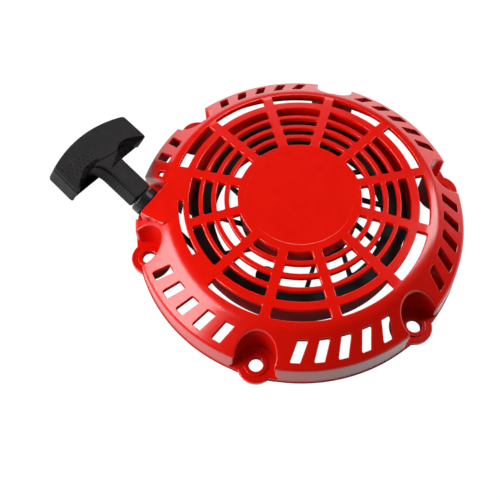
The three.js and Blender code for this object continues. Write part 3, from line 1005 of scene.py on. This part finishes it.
def spring_wire(points, radius, sides=16):
    return scratch(sweep(points, radius, sides))


def pawl_spring_path(angle):
    z = PAWL_Z[0] - 1.1
    points = [Vector((PAWL_PIVOT_R + x, y, z)) for x, y in (polar(3.6, 60 + 4 * i) for i in range(61))]
    turn = Matrix.Rotation(math.radians(angle), 3, "Z")
    return [turn @ p for p in points]


def make_pawls():
    for i, angle in enumerate(PAWL_ANGLES, 1):
        body = "pawl_a" if i == 1 else "pawl_b"
        finish(pawl_solid(angle), f"pawl_arm_{i}", body, BLACK, f"pawl_{i}")
        wire = spring_wire(pawl_spring_path(angle), 0.5)
        finish(wire, f"return_spring_{i}", "reel_body", SPRING_STEEL, f"pawl_spring_{i}")


def pin_track(share, angle):
    """The pawl's pin as the guide plate sees it, while the plate turns and the pawl swings."""
    swing, turn = math.radians(PAWL_SWING * share), math.radians(angle - GUIDE_TURN * share)
    pin_at = Matrix.Rotation(swing, 2) @ Vector((0, -PAWL_LENGTH * PIN_ALONG))
    pin_at += Vector((PAWL_PIVOT_R, 0))
    return Matrix.Rotation(turn, 2) @ pin_at


def bevelled(obj, width, segments=2):
    bevel = obj.modifiers.new("bevel", "BEVEL")
    bevel.width = width
    bevel.segments = segments
    bevel.limit_method = "ANGLE"
    bevel.angle_limit = math.radians(50)
    bevel.use_clamp_overlap = True
    bake(obj)
    return obj


def make_guide_plate():
    low, high = GUIDE_Z
    plate = scratch(washer(BORE_R, 13, low, high, 0))
    for angle in PAWL_ANGLES:
        arm = scratch(prism(np.array([(0, -16), (28, -16), (28, 3), (0, 3)]), low, high))
        boolean(arm, "INTERSECT", prism(circle(GUIDE_R + 1.5, 120), low, high))
        arm.data.transform(Matrix.Rotation(math.radians(angle - GUIDE_TURN / 2), 4, "Z"))
        cut(arm, prism(circle(8, 64), 0, 20))
        boolean(plate, "UNION", arm)
    for angle in PAWL_ANGLES:
        for i in range(-1, 10):
            cut(plate, prism(circle(1.9, 32, *pin_track(i / 8, angle)), 0, 20))
    bevelled(plate, 0.2)
    finish(plate, "guide_cam", "guide", ZINC, "guide_plate")
    ring = [Vector((*polar(8.2, 30 + 5 * i), GUIDE_Z[0] - 0.9)) for i in range(61)]
    wire = spring_wire(ring, 0.55)
    finish(wire, "clutch_spring", "guide", SPRING_STEEL, "friction_spring")


def threaded(radius, low, high, pitch=1.25, depth=0.55, sides=48):
    rings = []
    steps = round((high - low) / 0.16)
    for j in range(steps + 1):
        z = low + (high - low) * j / steps
        fade = min(1, (high - z) / pitch, (z - low) / pitch)
        ring = []
        for k in range(sides):
            phase = (z / pitch - k / sides) % 1
            r = radius - depth * fade * min(1, max(0, 1.25 - abs(phase - 0.5) * 4 + 0.25))
            r -= 0.6 * max(0, 1 - (high - z) / 0.7)
            ring.append((*polar(r, 360 * k / sides), z))
        rings.append(np.array(ring))
    return stack(rings)


def make_centre_screw():
    low, high = 4.4, 5.6
    hexagon = rounded([polar(6, 60 * k) for k in range(6)], 0.4)
    head = scratch(slab(hexagon, 2.4, low + 0.3, 0.25))
    chamfer = lathe([(0, 2.2), (5.1, 2.2), (6.4, 3.1), (6.4, 6), (0, 6)], 96)
    boolean(head, "INTERSECT", chamfer)
    flange = [(0, low), (9.9, low), (10.5, low + 0.5), (10.5, high), (5, high), (5, 8.6), (0, 8.6)]
    union(head, lathe(rounded(flange, 0.15, steps=2), 144), threaded(3, 8.2, 26))
    finish(head, "axle_screw", "cover", STEEL, "centre_screw")
    ring = scratch(washer(3.3, 11.6, 8.9, 10.3, 0.25, 144))
    finish(ring, "thrust_ring", "cover", NYLON, "thrust_washer")


# ---- grip ------------------------------------------------------------------------------------

GRIP_HALF = 34
GRIP_TIP = (28.4, 47.8)
GRIP_CROWN = 53.7
STEM_HALF = 7.2
STEM_FOOT = 2.8
GRIP_THICK = 12.8


def grip_outline():
    """The T seen along its thickness: bar ends, crowned back, and fillets into the stem."""
    half, tip, crown, stem = GRIP_HALF, GRIP_TIP, GRIP_CROWN, STEM_HALF
    right = curve([(stem, 24.5), (stem, 31.5), (11, 34.6), (17, 34.2)], 12)
    right += curve([(17, 34.2), (25, 33.4), (half - 3, tip[0] + 0.2)], 10)
    right += curve([(half - 3, tip[0] + 0.2), (half, tip[0] - 1.4), (half + 0.2, tip[0] + 2)], 8)
    right += curve([(half + 0.2, tip[0] + 2), (half - 0.4, tip[1] - 1.5)], 6)
    right += curve([(half - 0.4, tip[1] - 1.5), (half - 1, tip[1] + 0.2), (half - 3, tip[1] + 0.9)], 6)
    back = curve([(half - 3, tip[1] + 0.9), (0, 2 * crown - tip[1] - 1), (3 - half, tip[1] + 0.9)], 40)
    left = [(-x, z) for x, z in right[::-1]]
    stem_foot = rounded(
        [(-stem, 12, 0), (-stem, STEM_FOOT), (stem, STEM_FOOT), (stem, 12, 0)], 1.9, steps=4
    ).tolist()
    return np.array(stem_foot + right + back + left[:-1] + [(-stem, 24.5)])


def ball(centre, radius, segments=20, rings=10):
    profile = [
        (radius * math.sin(math.pi * k / rings), -radius * math.cos(math.pi * k / rings))
        for k in range(rings + 1)
    ]
    return moved(lathe(profile, segments), Matrix.Translation(centre))


def make_grip():
    half = GRIP_THICK / 2
    outline = counterclockwise(grip_outline())
    levels = [(-1.0, -half), (-0.62, -half + 0.08), (-0.3, -half + 0.3), (-0.08, -half + 0.62),
              (0, -half + 1.0), (0, -half + 1.25), (-0.55, -half + 1.5), (-0.62, -half + 2.2),
              (0, -half + 2.6), (0, half - 1.4), (-0.1, half - 0.87), (-0.41, half - 0.45),
              (-0.9, half)]
    grip = scratch(stack([at_height(outset(outline, out - 0.4), w) for out, w in levels]))
    dimples = []
    for row in range(4):
        z = 36.2 + 2.35 * row
        for column in range(7):
            x = 7.4 + 3.6 * column + (1.8 if row % 2 else 0)
            dimples.append(ball((x, z, -half - 0.8), 1.15))
    cut(grip, joined(*dimples))
    pocket = rounded([(-5.2, 30), (5.2, 30), (5.2, 42), (-5.2, 42)], 1.2)
    cut(grip, prism(pocket, -4.8, half + 2))
    grip.data.transform(Matrix.Rotation(math.radians(90), 4, "X"))
    cut(grip, prism(circle(ROPE_R + 0.5, 48), 0, 31))
    grip.data.transform(GRIP_FRAME)
    finish(grip, "pull_handle", "handle", GRIP, "grip")
    bore = ROPE_R + 0.6
    profile = [
        (bore, -4, 0.5), (8.2, -4, 0.5), (9.2, -3, 0.8), (9.2, 1.5, 0.7), (8.4, 2.5, 0.4),
        (bore, 2.5, 0.4),
    ]
    collar = scratch(along_pull(lathe(rounded(profile, 0.4, steps=5), 144)))
    finish(collar, "collar_bush", "handle", NYLON, "grip_collar")
    plate = scratch(along_pull(washer(ROPE_R + 0.3, 4.5, 30.3, 31.5, 0.25)))
    finish(plate, "handle_washer", "handle", STEEL, "grip_washer")


# ---- stage -----------------------------------------------------------------------------------

CAMERA_AT = Vector((168.6, 110.1, 379.4))
CAMERA_AZIMUTH = 132
CAMERA_ELEVATION = 64.156
CAMERA_ROLL = -3.095
CAMERA_LENS = 48.07


def make_camera():
    e, roll = math.radians(CAMERA_ELEVATION), math.radians(CAMERA_ROLL)
    back = Vector((0, -math.cos(e), math.sin(e)))
    right = Vector((1, 0, 0))
    up = back.cross(right)
    leaned = math.cos(roll) * right + math.sin(roll) * up
    raised = -math.sin(roll) * right + math.cos(roll) * up
    turn = Matrix.Rotation(math.radians(CAMERA_AZIMUTH), 4, "Z")
    axes = turn @ Matrix((leaned, raised, back)).transposed().to_4x4()
    place = Vector((AXIS_X, AXIS_Y, 0)) + CAMERA_AT * MM
    data = bpy.data.cameras.new("camera")
    data.lens = CAMERA_LENS
    data.sensor_width = 36
    data.clip_start = 0.01
    camera = bpy.data.objects.new("camera", data)
    camera.matrix_world = Matrix.Translation(place) @ axes
    bpy.context.scene.collection.objects.link(camera)
    bpy.context.scene.camera = camera


def make_light(name, direction, distance, size, power):
    """A rectangular softbox in the given direction from the starter, facing it."""
    data = bpy.data.lights.new(name, "AREA")
    data.shape = "RECTANGLE"
    data.size, data.size_y = size
    data.energy = power
    light = bpy.data.objects.new(name, data)
    away = Vector(direction).normalized()
    centre = Vector((AXIS_X, AXIS_Y, 0.02))
    facing = away.to_track_quat("Z", "Y").to_matrix().to_4x4()
    light.matrix_world = Matrix.Translation(centre + away * distance) @ facing
    bpy.context.scene.collection.objects.link(light)


def annulus(inner, outer, z, sides=96):
    """A flat face in metres about the starter's axis: a ring, or a disc if there is no inner radius."""
    centre = np.array((AXIS_X, AXIS_Y))
    rings = [circle(r, sides) + centre for r in (inner, outer) if r]
    verts = np.concatenate([at_height(ring, z) for ring in rings])
    if not inner:
        return verts, [tuple(range(sides))]
    return verts, [(i, i + sides, (i + 1) % sides + sides, (i + 1) % sides) for i in range(sides)]


def make_floor(name, solid, in_reflections):
    mesh = bpy.data.meshes.new(name)
    mesh.from_pydata([tuple(v) for v in solid[0]], [], solid[1])
    floor = bpy.data.objects.new(name, mesh)
    bpy.context.scene.collection.objects.link(floor)
    s = Shader(name, Roughness=0.9)
    s.colours(s.noise(3, 2), (0.3, (0.02, 0.02, 0.02)), (0.7, (0.03, 0.03, 0.03)))
    s.shader.inputs["Emission Color"].default_value = (1, 1, 1, 1)
    s.shader.inputs["Emission Strength"].default_value = 1.0
    mesh.materials.append(s.material)
    floor.visible_diffuse = False
    floor.visible_glossy = in_reflections


def make_stage():
    """A pale floor, lit evenly: bright around the starter, and giving no light under it."""
    make_floor("floor", annulus(0.104, 4.0, -0.0003), True)
    make_floor("floor_under", annulus(0, 0.1045, -0.0004), False)
    world = bpy.data.worlds.new("world")
    bpy.context.scene.world = world
    world.use_nodes = True
    background = world.node_tree.nodes["Background"]
    background.inputs["Color"].default_value = (1, 1, 1, 1)
    background.inputs["Strength"].default_value = 0.04
    make_light("left_softbox", (0.69, -0.56, 0.45), 0.8, (0.7, 0.45), 9)
    make_light("right_softbox", (-0.70, 0.40, 0.58), 0.8, (0.3, 0.6), 4.8)
    make_light("back_light", (-0.64, -0.58, 0.5), 1.1, (0.6, 0.3), 2.5)
    bpy.context.scene.view_settings.view_transform = "Standard"


make_camera()
make_stage()
make_housing()
make_rope_guide()
make_screw_insert()
make_reel()
make_winding()
make_knots()
make_lead()
make_recoil_spring()
make_pawls()
make_guide_plate()
make_centre_screw()
make_grip()
